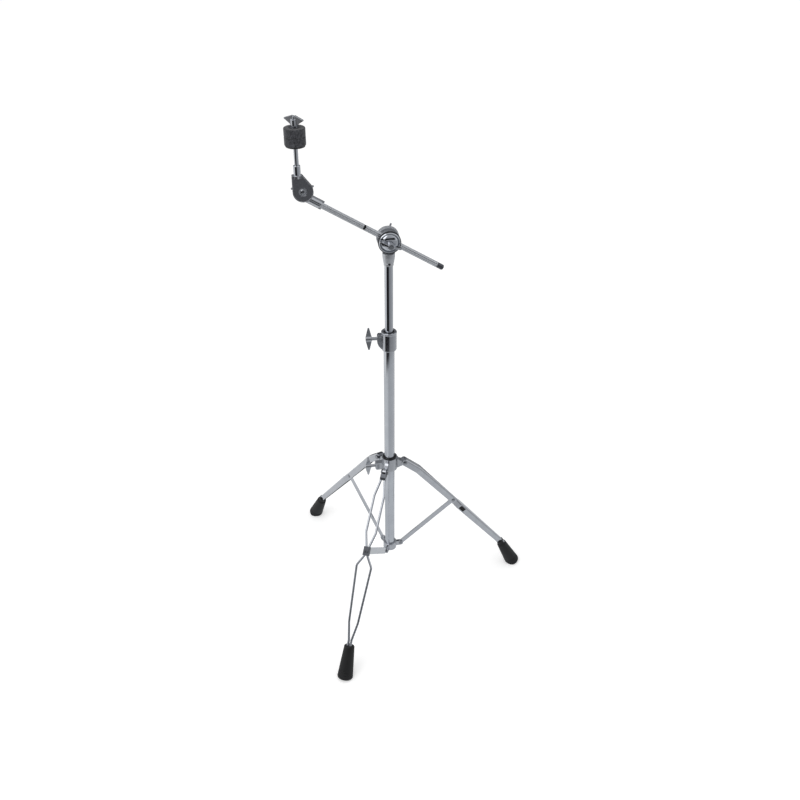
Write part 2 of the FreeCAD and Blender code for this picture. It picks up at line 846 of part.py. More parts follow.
def make_leg_hub():
    height = hub_top - hub_bottom
    ring = cylinder(Vector(0, 0, hub_bottom), up, hub_outer_radius, height)
    shapes = []
    for name, azimuth in leg_azimuths.items():
        width = front_tongue_width if name == "front" else hub_tongue_width
        shapes.append(about_column(make_tongue(width), azimuth))
    low = hub_screw_height - hub_lug_height / 2
    high = hub_screw_height + hub_lug_height / 2
    inset = hub_lug_rounding * quarter_inset
    lug = side_plate([
        (0, low), (hub_lug_reach - hub_lug_rounding, low),
        ((hub_lug_reach - inset, low + inset), (hub_lug_reach, low + hub_lug_rounding)),
        (hub_lug_reach, high - hub_lug_chamfer), (hub_lug_reach - hub_lug_chamfer, high),
        (0, high)], 0, hub_lug_width)
    shapes.append(about_column(lug, hub_lug_azimuth))
    hub = join(ring, *shapes)
    hub = hub.cut(cylinder(Vector(0, 0, hub_bottom - 1), up, hub_bush_radius, height + 2))
    screw = clamp_screw_bore(hub_bush_radius, hub_lug_reach, hub_screw_height)
    nut = clamp_nut_pocket(hub_lug_reach, hub_screw_height, hub_lug_width)
    hub = hub.cut(about_column(screw, hub_lug_azimuth)).cut(about_column(nut, hub_lug_azimuth))
    for azimuth in leg_azimuths.values():
        bore = cylinder(Vector(hub_pivot_radius, -hub_tongue_width, hub_pivot_height), sideways,
                        leg_bolt_diameter / 2 + turn_clearance, 2 * hub_tongue_width)
        hub = hub.cut(about_column(bore, azimuth))
    return hub


def make_tongue(width):
    """Cast tongue that a leg's end straddles, deep at the ring and round at the bolt."""
    pivot = (hub_pivot_radius, hub_pivot_height)
    radius = hub_tongue_radius
    root = hub_outer_radius - 1
    root_end = root + tongue_root_length
    root_low = hub_bottom + tongue_step
    root_high = hub_bottom + hub_tongue_root
    neck = pivot[0] - channel_depth / 2 - tongue_step
    return side_plate([
        (root, root_low), (root_end, root_low),
        ((neck - tongue_step, pivot[1] - radius - tongue_hollow), (pivot[0], pivot[1] - radius)),
        ((pivot[0] + radius, pivot[1]), (pivot[0], pivot[1] + radius)),
        (neck + 2, pivot[1] + radius),
        ((neck - 2, pivot[1] + radius + tongue_step), (root_end, root_high)), (root, root_high)],
        0, width)


def clamp_screw_bore(inner, outer, height):
    return cylinder(Vector(inner - clamp_bore_overrun, 0, height), outward,
                    clamp_screw_diameter / 2 + thread_clearance,
                    outer - inner + 2 * clamp_bore_overrun)


def clamp_nut_pocket(reach, height, width):
    """Slot across a lug that traps the square nut."""
    far = reach - clamp_nut_cover
    half = clamp_nut_width / 2
    return block((far - clamp_nut_thickness, far), (-width, width), (height - half, height + half))


def make_clamp_nut(reach, height, width, azimuth):
    far = reach - clamp_nut_cover
    half = clamp_nut_width / 2
    side = width / 2 - clamp_nut_inset
    nut = block((far - clamp_nut_thickness, far), (-side, side),
                (height - half, height + half))
    bore = cylinder(Vector(0, 0, height), outward, clamp_screw_diameter / 2 + thread_clearance,
                    2 * reach)
    return about_column(nut.cut(bore), azimuth)


def make_hub_bush():
    bottom = hub_bottom + hub_bush_rise
    height = hub_top + hub_bush_lip - bottom
    bore = lower_tube_radius + slide_clearance
    return sleeve(Vector(0, 0, bottom), up, hub_bush_radius, bore, height)


def make_clamp_screw(inner, wing_radius, height, azimuth, lean):
    """Wing bolt that presses on the column through the bush."""
    start = inner + face_clearance
    shank = cylinder(Vector(start, 0, height), outward, clamp_screw_diameter / 2,
                     wing_radius - start)
    head = wing(clamp_wing_span, clamp_wing_length, clamp_wing_tip, clamp_wing_thickness,
                clamp_wing_boss)
    head.rotate(floor, outward, lean)
    head.translate(Vector(wing_radius, 0, height))
    return about_column(join(shank, head), azimuth)


# Height clamp

def make_height_collar():
    height = collar_top - collar_bottom
    rim = collar_outer_radius + collar_rim_step
    chamfer = collar_chamfer
    body = turned([
        (0, collar_bottom), (collar_outer_radius - chamfer, collar_bottom),
        (collar_outer_radius, collar_bottom + chamfer),
        (collar_outer_radius, collar_top - collar_rim), (rim, collar_top - collar_rim),
        (rim, collar_top - collar_rim_chamfer), (rim - collar_rim_chamfer, collar_top),
        (0, collar_top)], floor, up)
    lug_top = collar_screw_height + collar_lug_above
    lug = side_plate([
        (0, collar_lug_foot), (collar_outer_radius - 1, collar_lug_foot),
        ((collar_outer_radius + collar_lug_bulge, collar_lug_foot + collar_lug_bulge_rise),
         (collar_lug_reach, collar_screw_height - collar_lug_below)),
        (collar_lug_reach, lug_top - collar_lug_chamfer),
        (collar_lug_reach - collar_lug_chamfer, lug_top), (0, lug_top)],
        0, collar_lug_width)
    body = join(body, about_column(lug, collar_lug_azimuth))
    body = body.cut(cylinder(Vector(0, 0, collar_bottom - 1), up, lower_tube_radius, height + 2))
    step_radius = lower_tube_radius + slide_clearance
    body = body.cut(cylinder(Vector(0, 0, lower_tube_top), up, step_radius, height))
    bore = clamp_screw_bore(lower_tube_radius, collar_lug_reach, collar_screw_height)
    nut = clamp_nut_pocket(collar_lug_reach, collar_screw_height, collar_lug_width)
    body = body.cut(about_column(bore, collar_lug_azimuth))
    return body.cut(about_column(nut, collar_lug_azimuth))


def make_height_bush():
    """Nylon bush in the lower tube's mouth; the upper tube slides in it."""
    lip_radius = lower_tube_radius
    inner = upper_tube_radius + slide_clearance
    outer = lower_tube_inner - slide_clearance
    low = lower_tube_top - bush_sleeve_length
    seat = lower_tube_top + slide_clearance
    top = collar_top - bush_lip_drop
    return turned([(inner, low), (outer, low), (outer, seat), (lip_radius, seat),
                   (lip_radius, top), (inner, top)], floor, up)


# Boom tilter

def make_tilter_base():
    """Neck that grips the upper tube, with the fixed ratchet disc standing behind the boom."""
    ring_top = neck_bottom + neck_ring_height
    neck = turned([
        (0, neck_bottom), (neck_bottom_radius, neck_bottom), (neck_bottom_radius, ring_top),
        (neck_bottom_radius + neck_ring_step, ring_top + neck_ring_slope),
        (neck_top_radius, neck_top - neck_band_height), (neck_top_radius, neck_top),
        (0, neck_top)], floor, up)
    back = rear_disc_front + rear_disc_thickness
    half = rear_web_width / 2
    narrow = rear_web_foot_half
    web_foot = neck_top - rear_web_foot_drop
    web_face = outline([(-narrow, web_foot), (narrow, web_foot), (half, neck_top),
                        (half, tilter_height), (-half, tilter_height), (-half, neck_top)],
                       lambda x, z: Vector(x, rear_disc_front, z))
    web = web_face.extrude(Vector(0, rear_disc_thickness, 0))
    foot = block((-narrow, narrow), (0, back), (neck_top - rear_web_foot_height, neck_top))
    bevel = rear_disc_bevel
    disc = turned([(0, 0), (tilter_disc_radius, 0),
                   (tilter_disc_radius, rear_disc_thickness - bevel),
                   (tilter_disc_radius - bevel, rear_disc_thickness), (0, rear_disc_thickness)],
                  Vector(0, rear_disc_front, tilter_height), sideways)
    base = join(neck, web, foot, disc)
    socket = cylinder(Vector(0, 0, neck_bottom - 1), up, upper_tube_radius,
                      neck_top - face_clearance - neck_bottom + 1)
    base = base.cut(socket)
    bolt = cylinder(Vector(0, rear_disc_front - 1, tilter_height), sideways,
                    tilter_bolt_diameter / 2 + turn_clearance, rear_disc_thickness + 2)
    screw = cylinder(Vector(0, -neck_top_radius - 1, set_screw_height), sideways,
                     set_screw_diameter / 2, neck_top_radius)
    return in_tilter(base.cut(bolt).cut(screw))


def make_set_screw():
    start = Vector(0, -upper_tube_radius, set_screw_height)
    length = neck_bottom_radius + set_screw_proud - upper_tube_radius
    screw = cylinder(start, Vector(0, -1, 0), set_screw_diameter / 2, length)
    socket = hexagon_nut(Vector(0, -neck_bottom_radius - set_screw_proud, set_screw_height),
                         set_screw_diameter / 2, set_screw_socket)
    return in_tilter(screw.cut(socket))


def make_boom_holder():
    """Cast block round the boom, with the moving ratchet disc against the fixed one."""
    ratchet_back = rear_disc_front - face_clearance
    ratchet_front = ratchet_back - ratchet_disc_thickness
    drum = cylinder(Vector(0, -holder_front, tilter_height), sideways, holder_radius,
                    holder_front + ratchet_front + 1)
    disc = cylinder(Vector(0, ratchet_front, tilter_height), sideways, tilter_disc_radius - 1,
                    ratchet_disc_thickness)
    collar = cylinder(Vector(-grip_sleeve_length / 2, 0, tilter_height), outward,
                      boom_radius + grip_sleeve_wall + holder_collar_wall, grip_sleeve_length)
    holder = join(drum, disc, collar)
    bore = cylinder(Vector(-grip_sleeve_length, 0, tilter_height), outward,
                    boom_radius + grip_sleeve_wall + 2 * slide_clearance, 2 * grip_sleeve_length)
    return on_boom(holder.cut(bore).cut(make_tilter_bolt()).cut(make_rear_bolt()))


def make_boom_grip_sleeve():
    """Nylon sleeve between the holder and the boom."""
    start = Vector(-grip_sleeve_length / 2, 0, tilter_height)
    return on_boom(sleeve(start, outward, boom_radius + grip_sleeve_wall + slide_clearance,
                          boom_radius + slide_clearance, grip_sleeve_length))


def make_tilter_dish():
    """Pressed cup in front of the holder: a bevelled rim, a groove and a domed nose."""
    bore = tilter_bolt_diameter / 2 + turn_clearance
    rim = tilter_disc_radius - gasket_width
    thick = dish_rim_thickness
    floor_of_groove = thick - dish_groove
    ball = ((dish_radius + dish_nose_radius) / 2, (floor_of_groove + dish_depth) / 2 + dish_bulge)
    dish = turned([(bore, 0), (rim, 0), (rim, thick - dish_rim_bevel),
                   (rim - dish_rim_bevel, thick), (dish_radius + 1, thick),
                   (dish_radius, floor_of_groove),
                   (ball, (dish_nose_radius, dish_depth)), (bore, dish_depth)],
                  Vector(0, -holder_front, tilter_height), Vector(0, -1, 0))
    return on_boom(dish)


def make_tilter_gasket():
    """Thin black band round the cup's rim."""
    rim = tilter_disc_radius - gasket_width
    ring = turned([(rim, face_clearance), (tilter_disc_radius, face_clearance),
                   (tilter_disc_radius, gasket_thickness - gasket_width / 2),
                   (tilter_disc_radius - gasket_width / 2, gasket_thickness),
                   (rim, dish_rim_thickness - dish_rim_bevel)],
                  Vector(0, -holder_front, tilter_height), Vector(0, -1, 0))
    return on_boom(ring)


def make_tilter_bolt():
    """Stud from the holder's front; its threaded end carries the wing nut."""
    reach = holder_front + dish_depth + face_clearance + tilter_wing_length + stud_proud
    seat = boom_radius + grip_sleeve_wall + front_stud_seat
    stud = cylinder(Vector(0, -seat, tilter_height), Vector(0, -1, 0), tilter_bolt_diameter / 2,
                    reach - seat)
    return stud


def make_tilter_wing_nut():
    start = -(holder_front + dish_depth + face_clearance)
    nut = wing(tilter_wing_span, tilter_wing_length, tilter_wing_tip, tilter_wing_thickness,
               tilter_wing_boss)
    bore = cylinder(Vector(-1, 0, 0), outward, tilter_bolt_diameter / 2 + thread_clearance,
                    tilter_wing_length + 2)
    nut = nut.cut(bore)
    nut.rotate(floor, up, -90)
    nut.rotate(floor, sideways, 90 + tilter_wing_slope)
    nut.translate(Vector(0, start, tilter_height))
    return in_tilter(nut)


def make_rear_bolt():
    """Stud fixed in the ratchet disc; it passes the fixed disc to the rear wing nut."""
    start = boom_radius + grip_sleeve_wall + 2 * slide_clearance + face_clearance
    end = rear_disc_front + rear_disc_thickness + face_clearance + pivot_wing_length + stud_proud
    return cylinder(Vector(0, start, tilter_height), sideways, tilter_bolt_diameter / 2,
                    end - start)


def make_rear_wing_nut():
    start = rear_disc_front + rear_disc_thickness + face_clearance
    nut = wing(rear_wing_span, pivot_wing_length, pivot_wing_tip, pivot_wing_thickness,
               rear_wing_boss)
    nut = nut.cut(cylinder(Vector(-1, 0, 0), outward,
                           tilter_bolt_diameter / 2 + thread_clearance, pivot_wing_length + 2))
    nut.rotate(floor, up, 90)
    nut.rotate(floor, sideways, rear_wing_slope)
    nut.translate(Vector(0, start, tilter_height))
    return in_tilter(nut)


# Boom rod

def boom_x(from_head):
    """Distance along the level boom of a place measured from the head pivot."""
    return -boom_head_reach + from_head


def make_boom_rod():
    start = boom_x(boom_rod_start)
    end = boom_tail_reach - boom_cap_length
    total = end - start
    base = Vector(start, 0, tilter_height)
    rod = cylinder(base, outward, boom_radius, total)
    inner = boom_radius - boom_wall
    rod = rod.cut(cylinder(base, outward, inner, total))
    groove_start = boom_x(boom_groove_from_head) - boom_groove_width / 2
    groove = sleeve(Vector(groove_start, 0, tilter_height), outward, boom_radius + 1,
                    boom_radius - boom_groove_depth, boom_groove_width)
    return on_boom(rod.cut(groove))


def make_boom_end_cap():
    """Plain dark plug that closes the boom's tail."""
    end = boom_tail_reach - boom_cap_length
    inner = boom_radius - boom_wall
    rounding = boom_cap_rounding
    inset = rounding * quarter_inset
    cap = turned([(0, -boom_cap_overlap), (inner, -boom_cap_overlap), (inner, 0),
                  (boom_cap_radius, 0), (boom_cap_radius, boom_cap_length - rounding),
                  ((boom_cap_radius - inset, boom_cap_length - inset),
                   (boom_cap_radius - rounding, boom_cap_length)), (0, boom_cap_length)],
                 Vector(end, 0, tilter_height), outward)
    return on_boom(cap)


# Cymbal tilter. The arm follows the boom's slope and the head stands upright.

def make_tilter_arm():
    """Cast arm: a disc raised above the boom, two flat ears and a barrel on the boom's end."""
    start = boom_x(0)
    front = head_back + face_clearance
    centre_height = tilter_height + head_rise
    disc = cylinder(Vector(start, front, centre_height), sideways, arm_disc_radius,
                    arm_disc_thickness)
    barrel_start = start + arm_barrel_start
    barrel_end = boom_x(arm_length)
    barrel = cylinder(Vector(barrel_start, 0, tilter_height), outward, arm_barrel_radius,
                      barrel_end - arm_flange_overhang - barrel_start)
    room = head_radius + arm_head_room
    over_head = cylinder(Vector(start, front - 2 * head_radius, centre_height), sideways, room,
                         2 * head_radius)
    half = arm_flange_width / 2
    ears = block((start, barrel_end), (front + 1, front + 1 + arm_flange_thickness),
                 (tilter_height - half, tilter_height + half))
    arm = join(disc, barrel.cut(over_head), ears)
    rod_start = boom_x(boom_rod_start)
    arm = arm.cut(cylinder(Vector(rod_start, 0, tilter_height), outward, boom_radius,
                           arm_length * 2))
    arm = arm.cut(cylinder(Vector(start, front - 1, centre_height), sideways,
                           pivot_bolt_diameter / 2 + turn_clearance, arm_disc_thickness + 2))
    return on_boom(arm)


def head_steps(shrink):
    """Teardrop outline about the pivot: round below, tapering to the post's neck above."""
    radius = head_radius - shrink
    top = head_neck_height - shrink
    left = -radius
    right = post_offset + head_neck_half_width - shrink
    reach = math.hypot(right, top)
    tangent = math.atan2(top, right) - math.acos(radius / reach)
    touch = (radius * math.cos(tangent), radius * math.sin(tangent))
    low_angle = math.radians(head_low_angle)
    low = (radius * math.cos(low_angle), radius * math.sin(low_angle))
    return [(left, top - head_corner), (left + head_corner, top), (right, top), touch, (low, (left, 0))]


def make_tilter_head():
    x, z = head_pivot.x, head_pivot.z
    steps = [shift_step(step, x, z) for step in head_steps(0)]
    middle = (head_front + head_back) / 2
    body = side_plate(steps, middle, head_back - head_front)
    inner_steps = [shift_step(step, x, z) for step in head_steps(head_rim)]
    face_cut = side_plate(inner_steps, head_front, 2 * head_rim_depth)
    body = body.cut(face_cut)
    neck_y = post_y()
    neck = cylinder(Vector(x + post_offset, neck_y, z + head_neck_height - head_neck_sink), up,
                    head_neck_half_width, head_neck_sink)
    body = join(body, neck)
    recess = cylinder(Vector(x, head_front - 1, z), sideways, recess_radius,
                      recess_depth + 1)
    bore = cylinder(Vector(x, head_front - 1, z), sideways,
                    pivot_bolt_diameter / 2 + turn_clearance, head_back - head_front + 2)
    socket = cylinder(Vector(x + post_offset, neck_y, z + post_foot_rise), up,
                      post_diameter / 2, head_neck_height)
    return in_tilter(body.cut(recess).cut(bore).cut(socket))


def shift_step(step, x, z):
    if isinstance(step[0], tuple):
        return tuple((point[0] + x, point[1] + z) for point in step)
    return (step[0] + x, step[1] + z)


def post_y():
    return (head_front + head_back) / 2


def make_pivot_bolt():
    """Domed bolt that holds the head to the arm."""
    x, z = head_pivot.x, head_pivot.z
    seat = head_front + recess_depth
    tail = (head_back + 2 * face_clearance + arm_disc_thickness + pivot_wing_length
            + stud_proud)
    shank = cylinder(Vector(x, seat, z), sideways, pivot_bolt_diameter / 2, tail - seat)
    crown = pivot_bolt_crown
    dome = domed_disc(Vector(x, seat, z), Vector(0, -1, 0), pivot_bolt_head_radius,
                      pivot_bolt_edge, crown)
    key = hexagon_nut(Vector(x, seat - crown, z), pivot_bolt_key_width,
                      pivot_bolt_key_depth)
    return in_tilter(join(shank, dome).cut(key))


def make_head_wing_nut():
    x, z = head_pivot.x, head_pivot.z
    start = head_back + face_clearance + arm_disc_thickness + face_clearance
    nut = wing(pivot_wing_span, pivot_wing_length, pivot_wing_tip, pivot_wing_thickness,
               pivot_wing_boss)
    nut = nut.cut(cylinder(Vector(-1, 0, 0), outward,
                           pivot_bolt_diameter / 2 + thread_clearance, pivot_wing_length + 2))
    nut.rotate(floor, up, 90)
    nut.rotate(floor, sideways, pivot_wing_slope)
    nut.translate(Vector(x, start, z))
    return in_tilter(nut)


# Cymbal seat on the post

def on_post(radius_steps):
    return in_tilter(turned(radius_steps, Vector(head_pivot.x + post_offset, post_y(), 0), up))


def make_cymbal_post():
    bottom = head_pivot.z + post_foot_rise
    radius = post_diameter / 2
    stud = stud_diameter / 2
    return on_post([(0, bottom), (radius, bottom), (radius, seat_height), (stud, seat_height),
                    (stud, stud_top - 1), (stud - 1, stud_top), (0, stud_top)])


def make_post_sleeve():
    bottom = head_pivot.z + head_neck_height
    inner = post_diameter / 2
    return on_post([(inner, bottom), (sleeve_radius, bottom),
                    (sleeve_radius, bottom + sleeve_length - 1),
                    (sleeve_radius - 1, bottom + sleeve_length), (inner, bottom + sleeve_length)])


def make_seat_washer():
    inner = stud_diameter / 2
    top = seat_height + seat_washer_thickness
    return on_post([(inner, seat_height), (seat_washer_radius - 1, seat_height),
                    (seat_washer_radius, top - seat_washer_chamfer), (seat_washer_radius, top),
                    (inner, top)])


def make_felt_sleeve():
    """Nylon tube that keeps the cymbal off the stud's thread."""
    inner = stud_diameter / 2
    bottom = seat_height + seat_washer_thickness
    top = felt_middle + felt_sleeve_top
    return on_post([(inner, bottom), (felt_sleeve_radius, bottom), (felt_sleeve_radius, top),
                    (inner, top)])


def make_felt(bottom):
    inner = felt_sleeve_radius + face_clearance
    top = bottom + felt_thickness
    edge = felt_edge
    return on_post([(inner, bottom), (felt_radius - edge, bottom), (felt_radius, bottom + edge),
                    (felt_radius, top - edge), (felt_radius - edge, top), (inner, top)])


def make_top_washer():
    inner = stud_diameter / 2 + slide_clearance
    top = top_washer_bottom + top_washer_thickness
    return on_post([(inner, top_washer_bottom), (top_washer_radius, top_washer_bottom),
                    (top_washer_radius, top), (inner, top)])


def make_top_wing_nut():
    bottom = top_washer_bottom + top_washer_thickness + top_wing_lift
    half = top_wing_span / 2
    height = top_wing_height
    round_off = top_wing_round
    blade = side_plate([
        (-top_wing_root, top_wing_foot), (-half + round_off, top_wing_low),
        ((-half, top_wing_middle), (-half + round_off, top_wing_high)),
        (-top_wing_flat, height), (top_wing_flat, height), (half - round_off, top_wing_high),
        ((half, top_wing_middle), (half - round_off, top_wing_low)),
        (top_wing_root, top_wing_foot)], 0, top_wing_thickness)
    body = join(blade, cylinder(floor, up, top_wing_boss, top_wing_boss_height))
    body = body.cut(cylinder(Vector(0, 0, -1), up, stud_diameter / 2 + thread_clearance,
                             height + 2))
    body.rotate(floor, up, top_wing_turn)
    body.translate(Vector(head_pivot.x + post_offset, post_y(), bottom))
    return in_tilter(body)


def make_parts():
    """Every sub-part by its node name, about the column's axis."""
    parts = {
        "lower_tube": make_lower_tube(),
        "tube_end_plug": make_tube_end_plug(),
        "upper_tube": make_upper_tube(),
        "spider": make_spider(),
        "spider_rivets": make_spider_rivets(),
        "leg_hub": make_leg_hub(),
        "hub_bush": make_hub_bush(),
        "hub_clamp_nut": make_clamp_nut(hub_lug_reach, hub_screw_height, hub_lug_width,
                                        hub_lug_azimuth),
        "hub_wing_bolt": make_clamp_screw(hub_bush_radius, clamp_wing_radius_hub,
                                          hub_screw_height, hub_lug_azimuth, hub_wing_lean),
        "height_collar": make_height_collar(),
        "height_bush": make_height_bush(),
        "height_clamp_nut": make_clamp_nut(collar_lug_reach, collar_screw_height,
                                           collar_lug_width, collar_lug_azimuth),
        "height_wing_bolt": make_clamp_screw(lower_tube_radius, clamp_wing_radius_collar,
                                             collar_screw_height, collar_lug_azimuth,
                                             height_wing_lean),
        "tilter_base": make_tilter_base(),
        "tilter_set_screw": make_set_screw(),
        "boom_holder": make_boom_holder(),
        "boom_grip_sleeve": make_boom_grip_sleeve(),
        "tilter_dish": make_tilter_dish(),
        "tilter_gasket": make_tilter_gasket(),
        "tilter_bolt": in_tilter(make_tilter_bolt()),
        "tilter_wing_nut": make_tilter_wing_nut(),
        "rear_bolt": in_tilter(make_rear_bolt()),
        "rear_wing_nut": make_rear_wing_nut(),
        "boom_rod": make_boom_rod(),
        "boom_end_cap": make_boom_end_cap(),
        "cymbal_tilter_arm": make_tilter_arm(),
        "cymbal_tilter_head": make_tilter_head(),
        "cymbal_pivot_bolt": make_pivot_bolt(),
        "cymbal_wing_nut": make_head_wing_nut(),
        "cymbal_post": make_cymbal_post(),
        "post_sleeve": make_post_sleeve(),
        "seat_washer": make_seat_washer(),
        "felt_sleeve": make_felt_sleeve(),
        "felt_lower": make_felt(felt_bottom),
        "felt_upper": make_felt(felt_middle),
        "top_washer": make_top_washer(),
        "top_wing_nut": make_top_wing_nut(),
        "leg_pad": make_leg_pad(),
    }
    for name, azimuth in leg_azimuths.items():
        if name == "front":
            parts["front_brace"] = make_brace(azimuth, front_brace_width)
            parts["front_leg_bolt"] = make_leg_bolt(azimuth, front_eye_width / 2)
            wires = [make_wire(azimuth, side) for side in (-1, 1)]
            parts["front_leg_rod_left"], parts["front_leg_rod_right"] = wires
            parts["front_leg_eye"] = make_front_eye(azimuth, wires)
            parts["front_leg_clamp"] = make_front_clamp(azimuth, wires)
            parts["front_foot"] = make_boot(azimuth, wires, False)
            ear_face = brace_thickness / 2 + face_clearance + clamp_ear
            parts["front_rivet"] = make_middle_rivet(azimuth, ear_face)
        else:
            parts[name + "_brace"] = make_brace(azimuth, brace_width)
            parts[name + "_leg_bolt"] = make_leg_bolt(azimuth, channel_width / 2)
            parts[name + "_leg"] = make_channel_leg(azimuth)
            filled = about_column(channel_pocket(), azimuth)
            parts[name + "_foot"] = make_boot(azimuth, [filled], True)
            parts[name + "_rivet"] = make_middle_rivet(azimuth, pinch_width / 2)
    return parts


def centred(parts):
    """Move the pieces so that the origin is the middle of the whole box, at the floor."""
    box = Part.makeCompound(list(parts.values())).optimalBoundingBox(False, False)
    shift = Vector(-box.Center.x, -box.Center.y, -box.ZMin)
    for shape in parts.values():
        shape.translate(shift)
    return parts, shift


if __name__ in ("__main__", "part"):
    finished, origin_shift = centred(make_parts())
    for node, solid in finished.items():
        solid.exportStep(os.path.join("parts", node + ".step"))
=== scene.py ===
import json
import math

import bmesh
import bpy
from mathutils import Matrix, Vector


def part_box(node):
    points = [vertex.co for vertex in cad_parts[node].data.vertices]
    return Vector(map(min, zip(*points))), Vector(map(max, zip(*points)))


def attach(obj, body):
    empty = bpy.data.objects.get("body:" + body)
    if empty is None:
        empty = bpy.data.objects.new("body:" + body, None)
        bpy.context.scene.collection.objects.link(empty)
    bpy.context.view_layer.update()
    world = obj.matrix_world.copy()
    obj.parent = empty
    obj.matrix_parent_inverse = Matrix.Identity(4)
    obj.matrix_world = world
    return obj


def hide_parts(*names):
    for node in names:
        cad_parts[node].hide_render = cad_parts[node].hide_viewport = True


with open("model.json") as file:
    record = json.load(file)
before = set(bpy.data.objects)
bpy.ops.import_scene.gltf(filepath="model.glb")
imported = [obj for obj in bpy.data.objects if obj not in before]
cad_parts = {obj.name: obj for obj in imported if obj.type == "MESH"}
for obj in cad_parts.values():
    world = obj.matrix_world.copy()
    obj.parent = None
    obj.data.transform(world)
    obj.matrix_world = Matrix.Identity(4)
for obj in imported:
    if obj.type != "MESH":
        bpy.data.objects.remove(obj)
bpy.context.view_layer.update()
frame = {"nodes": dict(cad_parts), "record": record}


# Studio. A seamless white floor under an even white sky, with one large soft lamp at the
# upper left. Grey cards on the floor, which only a mirror sees, give the chrome its dark
# edge lines. The camera looks down on the stand as in the photograph.

bpy.ops.object.select_all(action="DESELECT")


def linear(hex_colour):
    """A linear colour with full alpha from an sRGB hex value."""
    channels = [int(hex_colour[i:i + 2], 16) / 255 for i in (1, 3, 5)]
    return [c / 12.92 if c <= 0.04045 else ((c + 0.055) / 1.055) ** 2.4 for c in channels] + [1.0]


def add_node(tree, kind, settings=None, links=None):
    """Adds a shader node, gives it its settings, and joins sockets to its inputs."""
    node = tree.nodes.new(kind)
    for name, value in (settings or {}).items():
        if isinstance(name, int) or name in node.inputs:
            node.inputs[name].default_value = value
        else:
            setattr(node, name, value)
    for name, socket in (links or {}).items():
        tree.links.new(socket, node.inputs[name])
    return node


tube_low, tube_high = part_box("lower_tube")
column_x = (tube_low.x + tube_high.x) / 2
column_y = (tube_low.y + tube_high.y) / 2

camera_distance = 1.731
camera_height = 1.767
camera_pitch = math.radians(34.0)
camera_yaw = math.radians(0.86)
camera_roll = math.radians(0.24)
focal_pixels = 863.0
frame_pixels = 800.0

camera_data = bpy.data.cameras.new("camera")
camera_data.sensor_width = 36.0
camera_data.lens = camera_data.sensor_width * focal_pixels / frame_pixels
camera = bpy.data.objects.new("camera", camera_data)
bpy.context.scene.collection.objects.link(camera)
camera.matrix_world = (
    Matrix.Translation((column_x, column_y - camera_distance, camera_height))
    @ Matrix.Rotation(-camera_yaw, 4, "Z")
    @ Matrix.Rotation(math.pi / 2 - camera_pitch, 4, "X")
    @ Matrix.Rotation(camera_roll, 4, "Z"))
bpy.context.scene.camera = camera
bpy.context.scene.view_settings.view_transform = "Standard"

bpy.ops.mesh.primitive_plane_add(size=30.0, location=(0, 0, 0))
floor = bpy.context.object
floor.name = "floor"
floor_paint = bpy.data.materials.new("matt_white_studio_floor")
floor_paint.use_nodes = True
floor_tree = floor_paint.node_tree
floor_tree.nodes.clear()
lit_floor = add_node(floor_tree, "ShaderNodeBsdfDiffuse", {"Color": linear("#fbfbfb")})
floor_glow = add_node(floor_tree, "ShaderNodeEmission", {"Color": linear("#ffffff"),
                                                         "Strength": 0.3})
seen_floor = add_node(floor_tree, "ShaderNodeAddShader",
                      links={0: lit_floor.outputs[0], 1: floor_glow.outputs[0]})
floor_place = add_node(floor_tree, "ShaderNodeTexCoord").outputs["Object"]
floor_axes = add_node(floor_tree, "ShaderNodeSeparateXYZ", links={0: floor_place})
towards_front = add_node(floor_tree, "ShaderNodeMath", {"operation": "MULTIPLY", 1: -1.0},
                         {0: floor_axes.outputs["Y"]})
round_column = add_node(floor_tree, "ShaderNodeMath", {"operation": "ARCTAN2"},
                        {0: floor_axes.outputs["X"], 1: towards_front.outputs[0]})
bearing = add_node(floor_tree, "ShaderNodeMapRange", {"From Min": -math.pi, "From Max": math.pi},
                   {"Value": round_column.outputs[0]})


def grey_ramp(tree, along, start, end, stops):
    """A ramp of greys over a value from 0 to 1, which stands for the span from start to end."""
    ramp = add_node(tree, "ShaderNodeValToRGB", links={0: along})
    greys = ramp.color_ramp.elements
    for place, grey in stops:
        position = (place - start) / (end - start)
        stop = greys.new(position) if 0 < position < 1 else greys[0 if position == 0 else -1]
        stop.color = linear(grey)
    return ramp.outputs["Color"]


# The cards' greys go by bearing, in degrees from the front towards the right.
near_cards = grey_ramp(floor_tree, bearing.outputs[0], -180, 180, (
    (-180, "#28292b"), (-158, "#303134"), (-146, "#eceef0"), (-45, "#e6e8ea"), (-12, "#c4c7ca"),
    (60, "#ccced1"), (146, "#dcdee0"), (158, "#303134"), (180, "#28292b")))
far_cards = grey_ramp(floor_tree, bearing.outputs[0], -180, 180, (
    (-180, "#28292b"), (-158, "#303134"), (-146, "#f4f5f6"), (-72, "#f4f5f6"), (-58, "#29292b"),
    (-6, "#1c1c1e"), (7, "#85888b"), (24, "#a6a8ab"), (60, "#aeb0b3"), (146, "#dcdee0"),
    (158, "#303134"), (180, "#28292b")))
near_cards_end = 1.08
far_cards_start = 1.22
pale_foot_radius = 0.38
pale_foot_fade = 0.5
from_column = add_node(floor_tree, "ShaderNodeVectorMath", {"operation": "LENGTH"},
                       {0: floor_place})
far_share = add_node(floor_tree, "ShaderNodeMapRange", {
    "interpolation_type": "SMOOTHSTEP", "From Min": near_cards_end,
    "From Max": far_cards_start},
    {"Value": from_column.outputs["Value"]})
mirrored_grey = add_node(floor_tree, "ShaderNodeMix", {"data_type": "RGBA"},
                         {0: far_share.outputs[0], 6: near_cards, 7: far_cards})
beside_foot = add_node(floor_tree, "ShaderNodeMapRange", {
    "interpolation_type": "SMOOTHSTEP", "From Min": pale_foot_fade,
    "From Max": pale_foot_radius},
    {"Value": from_column.outputs["Value"]})
